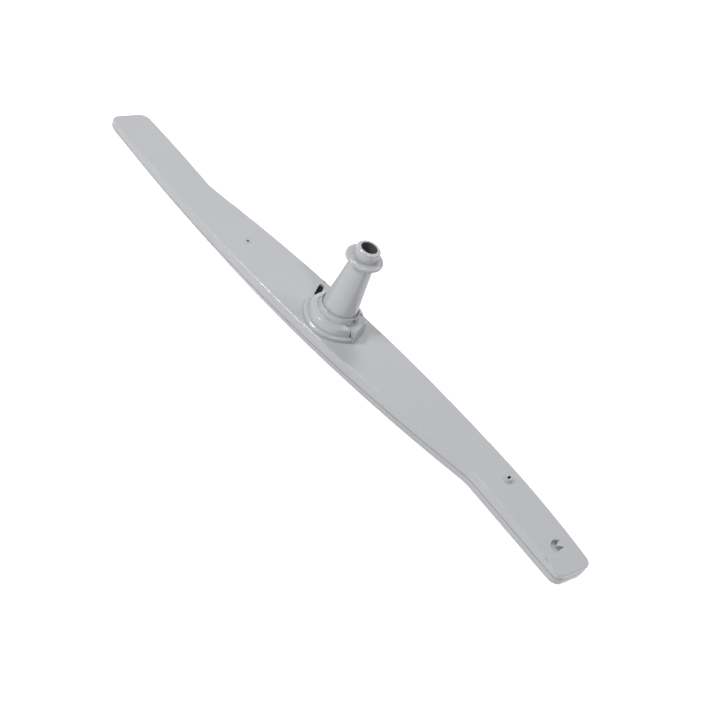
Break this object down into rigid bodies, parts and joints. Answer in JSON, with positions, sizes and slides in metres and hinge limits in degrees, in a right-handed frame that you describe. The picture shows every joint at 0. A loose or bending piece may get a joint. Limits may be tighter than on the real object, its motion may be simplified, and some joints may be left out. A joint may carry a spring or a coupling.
{
  "type": "dishwasher spray arm",
  "caption": "Bowed hollow dishwasher spray arm with raked tips, spinning about a tapered feed tube held in its hub by a bayonet ring.",
  "frame": {"origin": "on the tube's axis, in the plane of the flat jet face that the part rests on", "axes": "+Z along the feed tube towards its spigot, +X along the arm towards the end with the reaction scoop"},
  "size_m": [0.4646, 0.0552, 0.0782],
  "materials": {
    "moulded_plastic": "satin"
  },
  "bodies": {
    "feed": {"feed_tube": "moulded_plastic"},
    "spray_arm": {"upper_shell": "moulded_plastic", "lower_shell": "moulded_plastic", "retaining_ring": "moulded_plastic"}
  },
  "joints": [
    {"name": "arm_spin", "type": "hinge", "parent": "feed", "child": "spray_arm", "pos_m": [0, 0, 0], "axis": [0, 0, 1], "continuous": true}
  ]
}
